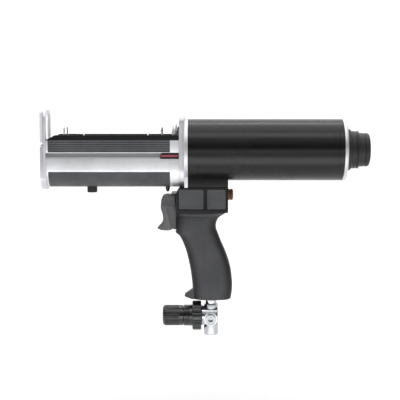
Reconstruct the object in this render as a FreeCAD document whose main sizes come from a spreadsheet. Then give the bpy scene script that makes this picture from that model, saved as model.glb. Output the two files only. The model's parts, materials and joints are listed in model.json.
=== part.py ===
"""Pneumatic two-component cartridge gun, built as an assembly of separate pieces.

Millimetres.  +X points to the rear of the gun, -X to its muzzle, +Y to its right side, +Z up.
The origin is the middle of the hand grip.  The ram axis runs along X above it.
"""
import FreeCAD, Part
import Sketcher
import math
import os
import re

# ---------------------------------------------------------------- driving dimensions
SIZES = {
    # ram axis, barrels and frame section
    "axis_height": 156.0, "barrel_offset": 24.5, "frame_width": 58.0, "fit_gap": 0.05,
    # stations along the gun, front to rear
    "front_face": -235.5, "front_plate_thick": 4.5, "hoop_thick": 3.5, "trough_long": 175.0,
    "collar_long": 12.7, "rear_plate_thick": 7.4, "flange_thick": 5.2, "tube_long": 220.1,
    # front plate and hoop
    "plate_low_radius": 32.5, "plate_top": 162.0, "neck_radius": 14.5, "neck_height": 147.0,
    "hoop_top": 212.7, "hoop_opening": 38.0, "hoop_bar": 4.5, "hoop_corner": 14.0,
    "lever_width": 11.0, "lever_pivot_side": 23.0, "lever_pivot_up": 168.0, "lever_tip_up": 207.1,
    "lever_pin": 2.5,
    # trough
    "trough_radius": 28.0, "trough_wall": 3.0, "trough_top": 170.5, "groove_low": 144.5,
    "groove_high": 153.0, "groove_deep": 0.8, "groove_lip": 1.0, "skin_thick": 0.5,
    "skin_top": 126.0, "strip_low": 153.6, "strip_high": 169.0, "strip_start": -224.5,
    # cradle rails and barrel clips
    "rail_start": -227.3, "rail_end": -40.5, "rail_top": 177.8, "rail_wide": 3.4, "rail_skirt": 1.5,
    "rail_skirt_low": 163.0, "rail_ramp": 13.0, "rail_ramp_fall": 6.8, "slit_wide": 1.8, "slit_front": -179.3,
    "slit_rear": -86.1, "slit_floor": 173.8, "clip_front": -203.1, "clip_rear": -65.2,
    "clip_thick": 1.8, "clip_inner": 17.8, "clip_outer": 19.8, "clip_top": 187.0, "clip_bead": 1.4,
    # underside
    "bumper_station": -165.0, "bumper_radius": 7.2, "bumper_low": 94.8,
    "lock_station": -56.4, "lock_radius": 3.2, "lock_low": 96.0,
    # rear plate and bolts
    "post_top": 209.0, "post_corner": 16.0, "bolt_side": 19.0, "bolt_up": 29.0,
    "bolt_radius": 2.5, "bolt_head": 4.3,
    # cylinder
    "tube_radius": 44.0, "bore_radius": 41.5, "foot_width": 44.0, "deck": 103.0,
    "spigot_radius": 41.3, "front_spigot": 15.2, "rear_spigot": 13.5, "ring_thick": 5.5,
    "ring_radius": 44.5, "seal_section": 1.6, "rod_radius": 6.0, "bush_radius": 9.0,
    "step_a": 29.7, "step_b": 26.9, "step_c": 24.1, "cover_bore": 17.0,
    # ram
    "piston_start": 155.0, "piston_long": 20.0, "piston_radius": 41.2,
    "plunger_start": -49.2, "plunger_thick": 5.9, "upper_plunger_radius": 14.5,
    "lower_plunger_radius": 21.5,
    # valve housing
    "housing_front": -44.3, "housing_rear": 30.0, "housing_low": 67.0, "housing_width": 42.0,
    "slot_width": 15.0, "slot_rear": -24.0, "pivot_station": -39.0, "pivot_up": 85.0,
    "pin_radius": 2.0, "valve_up": 75.0, "sleeve_radius": 6.0, "spool_radius": 3.0,
    "panel_low": 72.0, "panel_high": 100.5, "panel_thick": 0.8, "saddle_front": -27.0,
    "saddle_width": 40.0, "silencer_up": 91.6, "silencer_radius": 8.2, "silencer_long": 7.7,
    # grip
    "grip_wall": 3.4, "screw_radius": 2.2, "hose_radius": 3.0, "hose_bore": 2.0,
    # regulator
    "reg_up": -85.0, "riser_station": 6.0, "riser_radius": 8.0, "reg_front": -8.1,
    "reg_radius": 14.5, "reg_rear": 15.6, "nut_radius": 21.4, "reg_nut_long": 13.0,
    "bonnet_radius": 15.5, "bonnet_long": 13.0, "knob_radius": 14.9, "knob_long": 29.6,
    "port_low": -113.0, "port_radius": 10.4, "thread_radius": 5.9, "thread_deep": 12.0,
    "gauge_radius": 8.0,
    # marker
    "marker_front": -66.0, "marker_long": 26.0, "marker_tall": 7.2, "flag_tall": 3.0,
}

doc = FreeCAD.newDocument("cartridge_gun")
sheet = doc.addObject("Spreadsheet::Sheet", "dims")
for row, (alias, value) in enumerate(SIZES.items(), start=1):
    sheet.set(f"A{row}", alias)
    sheet.set(f"B{row}", str(value))
    sheet.setAlias(f"B{row}", alias)
doc.recompute()

NODES = []
TURN = {
    "x": FreeCAD.Rotation(FreeCAD.Vector(0, 1, 0), 90),
    "y": FreeCAD.Rotation(FreeCAD.Vector(1, 0, 0), -90),
    "z": FreeCAD.Rotation(),
}


# ---------------------------------------------------------------- helpers
def words(text):
    """A size in plain words, such as 'tube_radius - 2', as an expression on the sheet."""
    return re.sub(r"[a-z][a-z_]*", lambda word: prefixed(word.group()), str(text))


def prefixed(word):
    return f"dims.{word}" if word in SIZES else word


def value(text):
    """The same size worked out as a number."""
    return float(sheet.evalExpression(words(text)))


def bind(obj, **sizes):
    for name, text in sizes.items():
        obj.setExpression(name, words(text))


def place(obj, x="0", y="0", z="0"):
    for axis, text in (("x", x), ("y", y), ("z", z)):
        obj.setExpression(f"Placement.Base.{axis}", words(text))


def box(name, x, y, z, length, width, height):
    """A block whose lowest corner is at x, y, z."""
    obj = doc.addObject("Part::Box", name)
    bind(obj, Length=length, Width=width, Height=height)
    place(obj, x, y, z)
    return obj


def rod(name, axis, x, y, z, radius, length):
    """A cylinder from x, y, z along the named axis."""
    obj = doc.addObject("Part::Cylinder", name)
    obj.Placement = FreeCAD.Placement(FreeCAD.Vector(), TURN[axis])
    bind(obj, Radius=radius, Height=length)
    place(obj, x, y, z)
    return obj


def join(name, *pieces):
    obj = doc.addObject("Part::MultiFuse", name)
    obj.Shapes = list(pieces)
    return obj


def overlap(name, *pieces):
    obj = doc.addObject("Part::MultiCommon", name)
    obj.Shapes = list(pieces)
    return obj


def cut(name, base, *tools):
    obj = doc.addObject("Part::Cut", name)
    obj.Base = base
    obj.Tool = tools[0] if len(tools) == 1 else join(f"{name}_tools", *tools)
    return obj


def group(name, *pieces):
    obj = doc.addObject("Part::Compound", name)
    obj.Links = list(pieces)
    return obj


def rounded(name, base, radius, choose):
    """Rounds the edges of base that choose() picks."""
    doc.recompute()
    obj = doc.addObject("Part::Fillet", name)
    obj.Base = base
    size = value(radius)
    picked = [n for n, edge in enumerate(base.Shape.Edges, start=1) if choose(edge)]
    obj.Edges = [(n, size, size) for n in picked]
    return obj


def node(obj):
    """Marks an object as a sub-part that gets a file of its own."""
    obj.Label = obj.Name
    NODES.append(obj)
    return obj


def turned(name, profile, x="0", y="0", z="0", axis="x"):
    """A body turned from a closed profile of (station, radius) points about its own X axis."""
    body = doc.addObject("PartDesign::Body", name)
    plane = next(f for f in body.Origin.OriginFeatures if f.Role == "XZ_Plane")
    sketch = body.newObject("Sketcher::SketchObject", f"{name}_profile")
    sketch.AttachmentSupport = (plane, [""])
    sketch.MapMode = "FlatFace"
    draw_outline(sketch, profile)
    turn = body.newObject("PartDesign::Revolution", f"{name}_turn")
    turn.Profile = sketch
    turn.ReferenceAxis = (sketch, ["H_Axis"])
    turn.Angle = 360
    body.Tip = turn
    turns = {"x": FreeCAD.Rotation(), "y": FreeCAD.Rotation(FreeCAD.Vector(0, 0, 1), 90),
             "z": FreeCAD.Rotation(FreeCAD.Vector(0, 1, 0), -90)}
    body.Placement = FreeCAD.Placement(FreeCAD.Vector(), turns[axis])
    place(body, x, y, z)
    return body


def draw_outline(sketch, points):
    """Draws a closed outline and ties every corner to the sheet."""
    corners = [FreeCAD.Vector(value(a), value(b), 0) for a, b in points]
    count = len(corners)
    for n in range(count):
        sketch.addGeometry(Part.LineSegment(corners[n], corners[(n + 1) % count]))
    for n in range(count):
        sketch.addConstraint(Sketcher.Constraint("Coincident", n, 2, (n + 1) % count, 1))
    for n, (along, out) in enumerate(points):
        for kind, text, size in (("DistanceX", along, corners[n].x), ("DistanceY", out, corners[n].y)):
            index = sketch.addConstraint(Sketcher.Constraint(kind, -1, 1, n, 1, size))
            if re.search("[a-z]", str(text)):
                sketch.setExpression(f"Constraints[{index}]", words(text))


def free_form(name, shape):
    """A piece whose surface is neither prismatic nor turned."""
    obj = doc.addObject("Part::Feature", name)
    obj.Shape = shape
    return obj


def spring(name, x, y, z, radius, wire, length, turns):
    """A helical compression spring along X whose front end is at x, y, z."""
    helix = Part.makeHelix((length - 2 * wire) / turns, length - 2 * wire, radius)
    start = FreeCAD.Vector(radius, 0, 0)
    section = Part.Wire(Part.makeCircle(wire, start, FreeCAD.Vector(0, 1, 0)))
    coil = Part.Wire(helix).makePipeShell([section], True, True)
    obj = free_form(name, coil)
    obj.Placement = FreeCAD.Placement(FreeCAD.Vector(x + wire, y, z), TURN["x"])
    return obj


# ---------------------------------------------------------------- stations used again and again
HOOP = "front_face + front_plate_thick"
TROUGH = "front_face + front_plate_thick + hoop_thick"
COLLAR = f"{TROUGH} + trough_long"
REAR_PLATE = f"{COLLAR} + collar_long"
FLANGE = f"{REAR_PLATE} + rear_plate_thick"
TUBE = f"{FLANGE} + flange_thick"
TUBE_END = f"{TUBE} + tube_long"
RING_END = f"{TUBE_END} + ring_thick"
LOW_AXIS = "axis_height - barrel_offset"
HIGH_AXIS = "axis_height + barrel_offset"


def along_x(edge):
    ends = [v.Point for v in edge.Vertexes]
    return len(ends) == 2 and abs(ends[0].y - ends[1].y) < 1e-6 and abs(ends[0].z - ends[1].z) < 1e-6


def section(name, x, length, radius, width, top, narrow=False):
    """A block with a half-round bottom about the lower barrel's axis."""
    low = rod(f"{name}_round", "x", x, "0", LOW_AXIS, radius, length)
    if narrow:
        sides = box(f"{name}_sides", x, f"0 - {width} / 2", f"{LOW_AXIS} - {radius}", length, width, radius)
        low = overlap(f"{name}_low", low, sides)
    high = box(f"{name}_high", x, f"0 - {width} / 2", LOW_AXIS, length, width, f"{top} - ({LOW_AXIS})")
    return join(f"{name}_section", low, high)


# ---------------------------------------------------------------- front plate, hoop and neck lever
def front_end():
    plate = section("plate", "front_face", "front_plate_thick", "plate_low_radius", "frame_width",
                    "plate_top", narrow=True)
    neck = rod("plate_neck", "x", "front_face - 1", "0", "neck_height", "neck_radius", "front_plate_thick + 2")
    mouth = box("plate_mouth", "front_face - 1", "0 - neck_radius", "neck_height", "front_plate_thick + 2",
                "neck_radius * 2", "20")
    node(cut("front_plate", plate, neck, mouth))

    hoop = section("hoop", HOOP, "hoop_thick", "plate_low_radius", "frame_width", "hoop_top", narrow=True)
    hoop = rounded("hoop_round", hoop, "hoop_corner",
                   lambda edge: along_x(edge) and edge.BoundBox.ZMin > value("hoop_top - 1"))
    low = rod("hoop_low", "x", f"{HOOP} - 1", "0", "neck_height", "hoop_opening / 2", "hoop_thick + 2")
    high = box("hoop_high", f"{HOOP} - 1", "0 - hoop_opening / 2", "neck_height", "hoop_thick + 2",
               "hoop_opening", "hoop_top - hoop_bar - neck_height")
    high = rounded("hoop_high_round", high, "hoop_corner - 4",
                   lambda edge: along_x(edge) and edge.BoundBox.ZMin > value("hoop_top - hoop_bar - 1"))
    pin = rod("hoop_pin_hole", "x", f"{HOOP} - 1", "0 - lever_pivot_side", "lever_pivot_up", "lever_pin",
              "hoop_thick + 2")
    node(cut("front_hoop", hoop, low, high, pin))

    lever = join("lever_blank",
                 box("lever_bar", "front_face", "0 - lever_pivot_side - lever_width / 2", "lever_pivot_up",
                     "front_plate_thick - 0.3", "lever_width", "lever_tip_up - lever_pivot_up"),
                 rod("lever_tip", "x", "front_face", "0 - lever_pivot_side", "lever_tip_up",
                     "lever_width / 2", "front_plate_thick - 0.3"),
                 rod("lever_boss", "x", "front_face", "0 - lever_pivot_side", "lever_pivot_up",
                     "lever_width / 2", "front_plate_thick - 0.3"))
    hole = rod("lever_hole", "x", "front_face - 1", "0 - lever_pivot_side", "lever_pivot_up",
               "lever_pin + fit_gap", "front_plate_thick + 2")
    sink = rod("lever_sink", "x", "front_face - 1", "0 - lever_pivot_side", "lever_pivot_up",
               "lever_pin + 1.7", "2.5")
    node(cut("neck_lock_lever", lever, hole, sink))
    node(turned("lever_screw", [("0", "0"), ("0", "lever_pin + 1.4"), ("1.3", "lever_pin + 1.4"),
                                ("1.3", "lever_pin"), ("front_plate_thick + hoop_thick", "lever_pin"),
                                ("front_plate_thick + hoop_thick", "0")],
                "front_face", "0 - lever_pivot_side", "lever_pivot_up"))


# ---------------------------------------------------------------- trough and what sits on it
def hollow_section(name, x, length, outer, width):
    """The trough's U shape, with an undercut groove along both sides."""
    solid = section(f"{name}_out", x, length, outer, width, "trough_top")
    inner = "trough_radius - trough_wall"
    start = f"{x} - 1"
    space = section(f"{name}_in", start, f"{length} + 2", f"({inner})", f"(2 * ({inner}))", "(trough_top + 5)")
    tools = [space]
    depth = f"({width} / 2 - trough_radius + groove_deep)"
    tall = "groove_high - groove_low"
    for side, wide, low_lip in (("mouth", depth, "0"), ("foot", "groove_deep", "groove_lip")):
        inset = "0" if side == "mouth" else "groove_deep"
        for hand in (-1, 1):
            out = f"trough_radius - {inset} - groove_deep" if hand > 0 else f"0 - trough_radius + {inset}"
            if hand < 0 and side == "mouth":
                out = f"0 - {width} / 2"
            tools.append(box(f"{name}_{side}_{'left' if hand < 0 else 'right'}", start, out,
                             f"groove_low - {low_lip}", f"{length} + 2", wide, f"{tall} + 2 * {low_lip}"))
    return cut(name, solid, *tools)


def carrier():
    node(hollow_section("carrier_trough", TROUGH, "trough_long", "trough_radius", "(2 * trough_radius)"))
    node(hollow_section("rear_collar", COLLAR, "collar_long", "(trough_radius + skin_thick)",
                        "(2 * (trough_radius + skin_thick))"))
    strip_long = f"({COLLAR} - strip_start)"
    node(group("upper_side_strips",
               box("strip_left", "strip_start", "0 - trough_radius - skin_thick", "strip_low", strip_long,
                   "skin_thick", "strip_high - strip_low"),
               box("strip_right", "strip_start", "trough_radius", "strip_low", strip_long,
                   "skin_thick", "strip_high - strip_low")))
    skin = cut("skin_ring",
               rod("skin_out", "x", "strip_start", "0", LOW_AXIS, "trough_radius + skin_thick", strip_long),
               rod("skin_in", "x", "strip_start - 1", "0", LOW_AXIS, "trough_radius", f"{strip_long} + 2"))
    lower = box("skin_keep", "strip_start", "0 - frame_width / 2", f"{LOW_AXIS} - frame_width / 2", strip_long,
                "frame_width", f"skin_top - ({LOW_AXIS}) + frame_width / 2")
    node(overlap("lower_trough_skin", skin, lower))

    cradle_rail("left", -1)
    cradle_rail("right", 1)
    node(group("barrel_clips", barrel_clip("front_clip", "clip_front"), barrel_clip("rear_clip", "clip_rear")))

    peg = rod("peg", "z", "bumper_station", "0", "bumper_low", "bumper_radius", "15")
    peg = rounded("peg_round", peg, "1.6", lambda edge: edge.BoundBox.ZMax < value("bumper_low + 0.1")
                  and edge.BoundBox.YLength > 1)
    hull = rod("peg_seat", "x", "bumper_station - 12", "0", LOW_AXIS, "trough_radius + skin_thick", "24")
    node(cut("bumper_foot", peg, hull))
    screw = turned("lock_turning", [("0", "0"), ("0", "lock_radius / 2"), ("4", "lock_radius"),
                                    ("14", "lock_radius"), ("14", "0")], "lock_station", "0", "lock_low", "z")
    seat = rod("lock_seat", "x", "lock_station - 8", "0", LOW_AXIS, "trough_radius + skin_thick", "16")
    node(cut("carrier_lock_screw", screw, seat))


def cradle_rail(hand, side):
    """The dark rail clipped over one wall of the trough, with a ramped nose and two slits."""
    inner = "trough_radius - trough_wall - 0.1"
    cap_side = "0 - trough_radius" if side < 0 else "trough_radius - rail_wide"
    skirt_side = f"0 - ({inner})" if side < 0 else f"{inner} - rail_skirt"
    long = "rail_end - rail_start"
    name = f"rail_{hand}"
    cap = box(f"{name}_cap", "rail_start", cap_side, "trough_top", long, "rail_wide", "rail_top - trough_top")
    doc.recompute()
    ramp = doc.addObject("Part::Chamfer", f"{name}_ramp")
    ramp.Base = cap
    nose = [n for n, edge in enumerate(cap.Shape.Edges, start=1)
            if edge.BoundBox.XMax < value("rail_start + 0.1") and edge.BoundBox.ZMin > value("rail_top - 0.1")]
    ramp.Edges = [(n, value("rail_ramp_fall"), value("rail_ramp")) for n in nose]
    skirt = box(f"{name}_skirt", "rail_start", skirt_side, "rail_skirt_low", long, "rail_skirt",
                "trough_top + 1.5 - rail_skirt_low")
    slits = [box(f"{name}_slit_{place_name}", f"{place_name} - slit_wide / 2", "0 - frame_width / 2",
                 "slit_floor", "slit_wide", "frame_width", "10") for place_name in ("slit_front", "slit_rear")]
    node(cut(f"cradle_rail_{hand}", join(f"{name}_blank", ramp, skirt), *slits))


def barrel_clip(name, station):
    """A sprung steel hoop, open at the top, that grips the upper barrel."""
    band = cut(f"{name}_band",
               rod(f"{name}_out", "x", station, "0", HIGH_AXIS, "clip_outer", "clip_thick"),
               rod(f"{name}_in", "x", f"{station} - 1", "0", HIGH_AXIS, "clip_inner", "clip_thick + 2"),
               box(f"{name}_top", f"{station} - 1", "0 - clip_outer - 1", "clip_top", "clip_thick + 2",
                   "2 * clip_outer + 2", "2 * clip_outer"))
    beads = [rod(f"{name}_bead_{hand}", "x", station, f"{sign} (clip_inner - 0.1)", "clip_top", "clip_bead",
                 "clip_thick") for hand, sign in (("left", "0 -"), ("right", "0 +"))]
    wings = [box(f"{name}_wing_{hand}", station, side, "trough_top - 3", "clip_thick",
                 "trough_radius - trough_wall - rail_skirt - 0.1 - 15.5", "2.4")
             for hand, side in (("left", "0 - trough_radius + trough_wall + rail_skirt + 0.1"),
                                ("right", "15.5"))]
    blank = join(f"{name}_blank", band, *beads, *wings)
    return cut(name, blank, rod(f"{name}_clear", "x", f"{station} - 1", "0", HIGH_AXIS, "clip_inner - 1.3",
                                "clip_thick + 2"))


# ---------------------------------------------------------------- rear plate, cylinder and bushes
BOLT_PLACES = [(y, z) for y in (-1, 1) for z in (-1, 1)]


def at_bolts(name, x, radius, length):
    return [rod(f"{name}_{n}", "x", x, f"{y} * bolt_side", f"axis_height + {z} * bolt_up", radius, length)
            for n, (y, z) in enumerate(BOLT_PLACES)]


def at_rods(name, x, radius, length):
    return [rod(f"{name}_low", "x", x, "0", LOW_AXIS, radius, length),
            rod(f"{name}_high", "x", x, "0", HIGH_AXIS, radius, length)]


def cylinder():
    plate = section("post", REAR_PLATE, "rear_plate_thick", "(trough_radius + skin_thick)",
                    "(2 * (trough_radius + skin_thick))", "post_top")
    plate = rounded("post_round", plate, "post_corner",
                    lambda edge: along_x(edge) and edge.BoundBox.ZMin > value("post_top - 1"))
    node(cut("rear_plate", plate,
             *at_rods("post_bore", f"{REAR_PLATE} - 1", "rod_radius + 0.6", "rear_plate_thick + 2"),
             *at_bolts("post_hole", f"{REAR_PLATE} - 1", "bolt_radius + 0.1", "rear_plate_thick + 2")))

    flange = rod("flange_disc", "x", FLANGE, "0", "axis_height", "tube_radius", "flange_thick")
    foot = box("flange_foot", FLANGE, "0 - foot_width / 2", "deck", "flange_thick", "foot_width",
               "axis_height - deck")
    spigot = rod("flange_spigot", "x", TUBE, "0", "axis_height", "spigot_radius", "front_spigot")
    groove = cut("front_groove",
                 rod("front_groove_out", "x", f"{TUBE} + 7", "0", "axis_height", "spigot_radius + 1", "3.4"),
                 rod("front_groove_in", "x", f"{TUBE} + 6", "0", "axis_height", "spigot_radius - 3.2", "6"))
    node(cut("cylinder_front_cap", join("front_cap_blank", flange, foot, spigot), groove,
             *at_rods("cap_bore", f"{FLANGE} - 1", "bush_radius", "flange_thick + front_spigot - 1.5"),
             *at_rods("cap_exit", f"{FLANGE} + 1", "rod_radius + 0.6", "flange_thick + front_spigot + 3"),
             *at_bolts("cap_hole", f"{FLANGE} - 1", "bolt_radius + 0.1", "flange_thick + 11")))

    head = "bolt_head / 2"
    bolts = [join(f"bolt_{n}", shank, cap) for n, (shank, cap) in enumerate(zip(
        at_bolts("shank", REAR_PLATE, "bolt_radius", "rear_plate_thick + flange_thick + 9"),
        at_bolts("bolt_cap", f"{REAR_PLATE} - {head}", "bolt_head", head)))]
    node(group("frame_bolts", *bolts))

    bush_long = "11"
    node(group("rod_bushes", *[cut(f"bush_{n}", out, core) for n, (out, core) in enumerate(zip(
        at_rods("bush_out", f"{FLANGE} + 0.2", "bush_radius - fit_gap", bush_long),
        at_rods("bush_core", FLANGE, "rod_radius + fit_gap", f"{bush_long} + 2")))]))
    node(group("rod_seals", *[cut(f"rod_seal_{n}", out, core) for n, (out, core) in enumerate(zip(
        at_rods("rod_seal_out", f"{FLANGE} + 11.6", "bush_radius - fit_gap", "5"),
        at_rods("rod_seal_core", f"{FLANGE} + 11", "rod_radius + fit_gap", "7")))]))

    node(cut("cylinder_tube",
             rod("tube_out", "x", TUBE, "0", "axis_height", "tube_radius", "tube_long"),
             rod("tube_in", "x", f"{TUBE} - 1", "0", "axis_height", "bore_radius", "tube_long + 2")))
    rear_start = "0 - rear_spigot"
    node(turned("cylinder_rear_cap",
                [(rear_start, "5"), (rear_start, "spigot_radius"), ("0 - 8.4", "spigot_radius"),
                 ("0 - 8.4", "spigot_radius - 3.2"), ("0 - 5", "spigot_radius - 3.2"), ("0 - 5", "spigot_radius"),
                 ("0", "spigot_radius"), ("0", "ring_radius"), ("ring_thick - 2.2", "ring_radius"),
                 ("ring_thick - 0.7", "ring_radius - 0.7"), ("ring_thick", "ring_radius - 2.4"),
                 ("ring_thick", "5")], TUBE_END, "0", "axis_height"))
    ring = [oring(f"cap_ring_{n}", station, "spigot_radius - seal_section + 0.05", "seal_section")
            for n, station in enumerate((f"{TUBE} + 8.7", f"{TUBE_END} - 6.7"))]
    node(group("cap_orings", *ring))
    node(turned("rear_cover",
                [("0", "cover_bore"), ("0", "step_a"), ("6", "step_a"), ("7", "step_a - 1"), ("7", "step_b"),
                 ("13", "step_b"), ("13", "step_b - 1.5"), ("15.4", "step_b - 1.5"), ("15.4", "step_b"),
                 ("17.4", "step_b"), ("18", "step_b - 0.6"), ("18", "step_c"), ("25.6", "step_c"),
                 ("25.6", "step_c - 1"), ("27.2", "step_c - 1"), ("27.2", "step_c"), ("31.1", "step_c - 0.3"),
                 ("32.9", "step_c - 1.5"), ("33.7", "step_c - 3.6"), ("33.7", "0"), ("27", "0"),
                 ("27", "cover_bore")], RING_END, "0", "axis_height"))


def oring(name, station, radius, wire):
    ring = doc.addObject("Part::Torus", name)
    ring.Placement = FreeCAD.Placement(FreeCAD.Vector(), TURN["x"])
    bind(ring, Radius1=radius, Radius2=wire)
    place(ring, station, "0", "axis_height")
    return ring


# ---------------------------------------------------------------- ram
def ram():
    reach = "piston_start + piston_long + 1 - plunger_start - 5"
    node(group("ram_rods", *at_rods("ram_rod", "plunger_start + 5", "rod_radius", reach)))
    blank = turned("piston_turning",
                   [("0", "0"), ("0", "piston_radius - 2"), ("1.5", "piston_radius"), ("4", "piston_radius"),
                    ("4", "piston_radius - 3.2"), ("7.4", "piston_radius - 3.2"), ("7.4", "piston_radius"),
                    ("12.6", "piston_radius"), ("12.6", "piston_radius - 3.2"), ("16", "piston_radius - 3.2"),
                    ("16", "piston_radius"), ("18.5", "piston_radius"), ("piston_long", "piston_radius - 2"),
                    ("piston_long", "0")], "piston_start", "0", "axis_height")
    node(cut("ram_piston", blank,
             *at_rods("piston_bore", "piston_start - 1", "rod_radius + 0.02", "piston_long + 2"),
             *at_rods("piston_sink", "piston_start + piston_long - 5", "11", "6")))
    node(group("piston_seals", *[oring(f"piston_seal_{n}", f"piston_start + {station}",
                                       "piston_radius - seal_section + 0.15", "seal_section")
                                 for n, station in enumerate(("5.7", "14.3"))]))
    nuts = []
    for n, axis_up in enumerate((LOW_AXIS, HIGH_AXIS)):
        nut = doc.addObject("Part::Prism", f"rod_nut_blank_{n}")
        nut.Polygon = 6
        nut.Placement = FreeCAD.Placement(FreeCAD.Vector(), TURN["x"])
        bind(nut, Circumradius="10", Height="5")
        place(nut, "piston_start + piston_long - 5", "0", axis_up)
        hole = rod(f"rod_nut_hole_{n}", "x", "piston_start + piston_long - 6", "0", axis_up,
                   "rod_radius + 0.02", "8")
        nuts.append(cut(f"rod_nut_{n}", nut, hole))
    node(group("rod_nuts", *nuts))
    plunger("upper_plunger", HIGH_AXIS, "upper_plunger_radius")
    plunger("lower_plunger", LOW_AXIS, "lower_plunger_radius")
    screws = [turned(f"plunger_screw_{n}",
                     [("0", "0"), ("0", "3.6"), ("2", "4.6"), ("4", "4.6"), ("4", "0")],
                     "plunger_start - 1.2", "0", axis_up) for n, axis_up in enumerate((LOW_AXIS, HIGH_AXIS))]
    node(group("plunger_screws", *screws))


def plunger(name, axis_up, radius):
    """A disc with a crowned rim, recessed in front for its screw and behind for the rod."""
    node(turned(name,
                [("0", "4.7"), ("0", f"{radius} - 1.5"), ("1.5", radius), ("4.4", radius),
                 ("plunger_thick", f"{radius} - 1.5"), ("plunger_thick", "rod_radius + 0.02"),
                 ("5", "rod_radius + 0.02"), ("5", "2.5"), ("2.8", "2.5"), ("2.8", "4.7")],
                "plunger_start", "0", axis_up))


# ---------------------------------------------------------------- housing and valve
def extruded(points, width, curve=0):
    """A side outline in XZ, centred across Y.  The first 'curve' points are joined by one spline."""
    corners = [FreeCAD.Vector(x, -width / 2, z) for x, z in points]
    edges = []
    start = 0
    if curve:
        spline = Part.BSplineCurve()
        spline.interpolate(corners[:curve])
        edges.append(spline.toShape())
        start = curve - 1
    for n in range(start, len(corners)):
        edges.append(Part.makeLine(corners[n], corners[(n + 1) % len(corners)]))
    return Part.Face(Part.Wire(edges)).extrude(FreeCAD.Vector(0, width, 0))


PANELS = [("0 - 40.2", "35.4"), ("0", "26.6")]  # front end, length


def housing():
    front, rear = value("housing_front"), value("housing_rear")
    low, deck, width = value("housing_low"), value("deck"), value("housing_width")
    block = extruded([(front, low), (front, 93.4), (front - 6.5, 93.4), (front - 6.5, 94.4), (front, 94.6),
                      (front + 4.7, deck - 1), (front + 5.5, deck), (rear, deck), (rear, low)], width)
    blank = free_form("housing_blank", block)
    slot = box("housing_slot", "housing_front - 10", "0 - slot_width / 2", "housing_low - 1",
               "slot_rear - housing_front + 10", "slot_width", "93 - housing_low + 1")
    pin = rod("housing_pin_bore", "y", "pivot_station", "0 - housing_width / 2 - 1", "pivot_up", "pin_radius",
              "housing_width + 2")
    bore = rod("housing_bore", "x", "slot_rear - 1", "0", "valve_up", "sleeve_radius",
               "housing_rear - slot_rear + 2")
    port = rod("housing_silencer_bore", "x", "housing_rear - 12", "0", "silencer_up", "5", "14")
    feed = rod("housing_feed", "z", "riser_station", "0", "housing_low - 1", "hose_radius + 0.1", "2.7")
    sinks = [box(f"panel_sink_{hand}_{n}", start, side, "panel_low", long, "panel_thick + 1",
                 "panel_high - panel_low")
             for hand, side in (("left", "0 - housing_width / 2 - 1"), ("right", "housing_width / 2 - panel_thick"))
             for n, (start, long) in enumerate(PANELS)]
    saddle_bores = at_saddle("housing_saddle_bore", "deck - 10", "1.6", "12")
    node(cut("valve_housing", blank, slot, pin, bore, port, feed, *sinks, *saddle_bores))
    for hand, side in (("left", "0 - housing_width / 2"), ("right", "housing_width / 2 - panel_thick")):
        plates = [rounded(f"panel_{hand}_{n}",
                          box(f"panel_blank_{hand}_{n}", f"{start} + 0.15", side, "panel_low + 0.15",
                              f"{long} - 0.3", "panel_thick", "panel_high - panel_low - 0.3"),
                          "2.4", lambda edge: abs(edge.BoundBox.XLength) < 1e-6 and
                          abs(edge.BoundBox.ZLength) < 1e-6)
                  for n, (start, long) in enumerate(PANELS)]
        node(group(f"housing_panels_{hand}", *plates))

    saddle = box("saddle_block", "saddle_front", "0 - saddle_width / 2", "deck", "housing_rear - saddle_front",
                 "saddle_width", "22")
    bed = rod("saddle_bed", "x", "saddle_front - 1", "0", "axis_height", "tube_radius",
              "housing_rear - saddle_front + 2")
    node(cut("saddle_plate", saddle, bed, *at_saddle("saddle_bore", "deck - 1", "1.6", "6")))
    node(group("saddle_screws", *at_saddle("saddle_screw", "deck - 9.8", "1.5", "12")))

    node(rod("trigger_pin", "y", "pivot_station", "0 - housing_width / 2 + panel_thick + 0.1", "pivot_up",
             "pin_radius - 0.01", "housing_width - 2 * panel_thick - 0.2"))
    node(turned("valve_sleeve",
                [("0", "spool_radius + fit_gap"), ("0", "sleeve_radius - 0.01"), ("8", "sleeve_radius - 0.01"),
                 ("8", "sleeve_radius - 1"), ("12", "sleeve_radius - 1"), ("12", "sleeve_radius - 0.01"),
                 ("22", "sleeve_radius - 0.01"), ("22", "sleeve_radius - 1"), ("26", "sleeve_radius - 1"),
                 ("26", "sleeve_radius - 0.01"), ("40", "sleeve_radius - 0.01"),
                 ("40", "spool_radius + fit_gap")], "slot_rear", "0", "valve_up"))
    node(turned("valve_spool",
                [("0", "0"), ("0", "0.8"), ("2", "spool_radius"), ("18", "spool_radius"),
                 ("18", "spool_radius - 1.2"), ("24", "spool_radius - 1.2"), ("24", "spool_radius"),
                 ("34", "spool_radius"), ("34", "0")], "0 - 32.9", "0", "valve_up"))
    node(spring("valve_spring", 1.3, 0, value("valve_up"), 2.1, 0.45, 12.5, 6))
    node(turned("valve_end_plug",
                [("0", "0"), ("0", "sleeve_radius - 0.01"), ("12", "sleeve_radius - 0.01"),
                 ("12", "2.4"), ("9", "2.4"), ("9", "0")], "housing_rear - 13.9", "0", "valve_up"))
    node(turned("exhaust_silencer",
                [("0 - 10", "0"), ("0 - 10", "4.9"), ("0", "4.9"), ("0", "silencer_radius"),
                 ("silencer_long - 1.6", "silencer_radius"), ("silencer_long", "silencer_radius - 1.6"),
                 ("silencer_long", "0")], "housing_rear", "0", "silencer_up"))


def at_saddle(name, z, radius, length):
    return [rod(f"{name}_{n}", "z", x, f"{side} * 15", z, radius, length)
            for n, (x, side) in enumerate((x, side) for x in ("0 - 18", "22") for side in (-1, 1))]


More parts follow.
